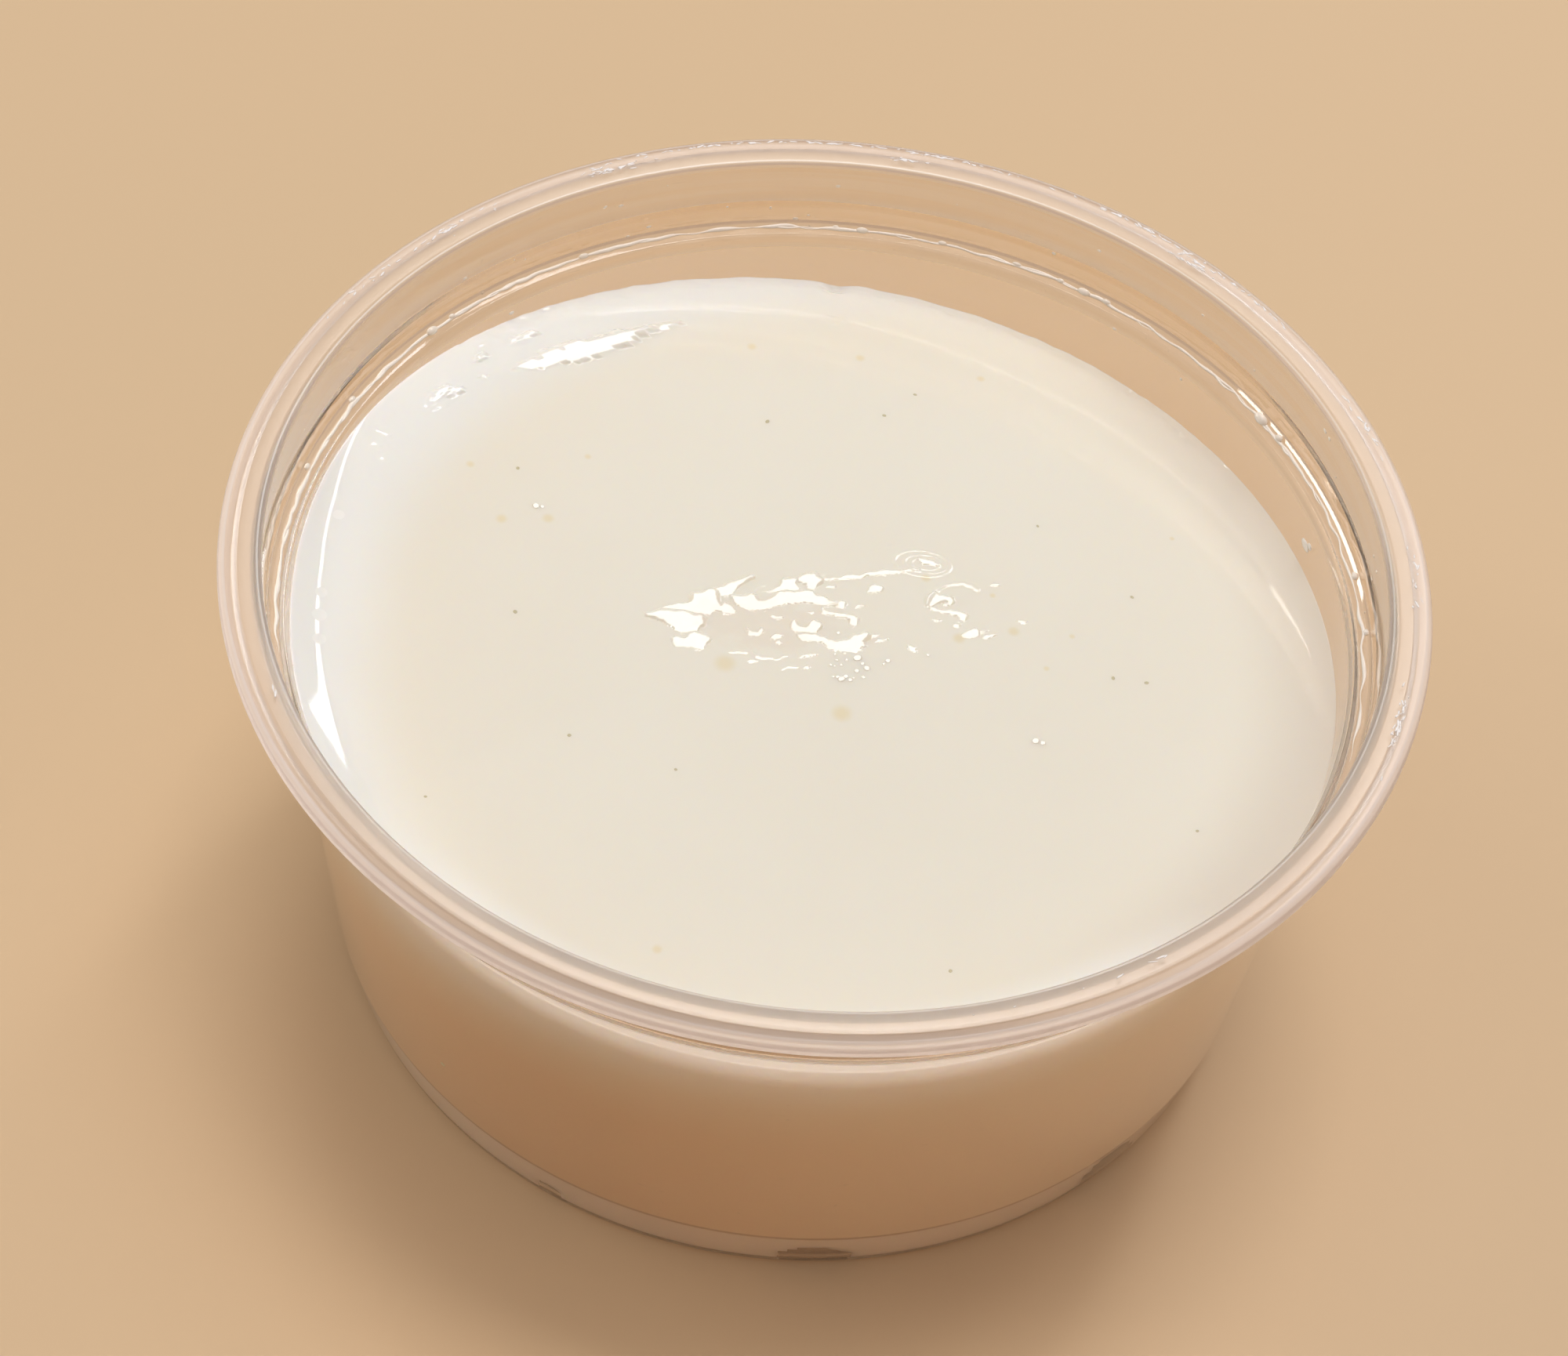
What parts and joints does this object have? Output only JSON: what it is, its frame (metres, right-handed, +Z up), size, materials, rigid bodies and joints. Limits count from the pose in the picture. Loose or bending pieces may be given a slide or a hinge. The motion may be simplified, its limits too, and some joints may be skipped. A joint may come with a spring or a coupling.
{
  "type": "cup of sour cream",
  "caption": "Clear thin-walled plastic portion cup with a flat rim, lid seat and small foot, filled with soft white sour cream to a little below the seat",
  "frame": {"origin": "on the table under the middle of the cup's base", "axes": "+Z up along the cup's axis, -Y towards the viewer of the picture, +X to the right"},
  "size_m": [0.074, 0.074, 0.034],
  "materials": {
    "clear_plastic": "clear, glossy, lightly scuffed",
    "sour_cream": "wet, smooth, softly translucent"
  },
  "bodies": {
    "root": {"cup": "clear_plastic", "sour_cream": "sour_cream"}
  },
  "joints": []
}
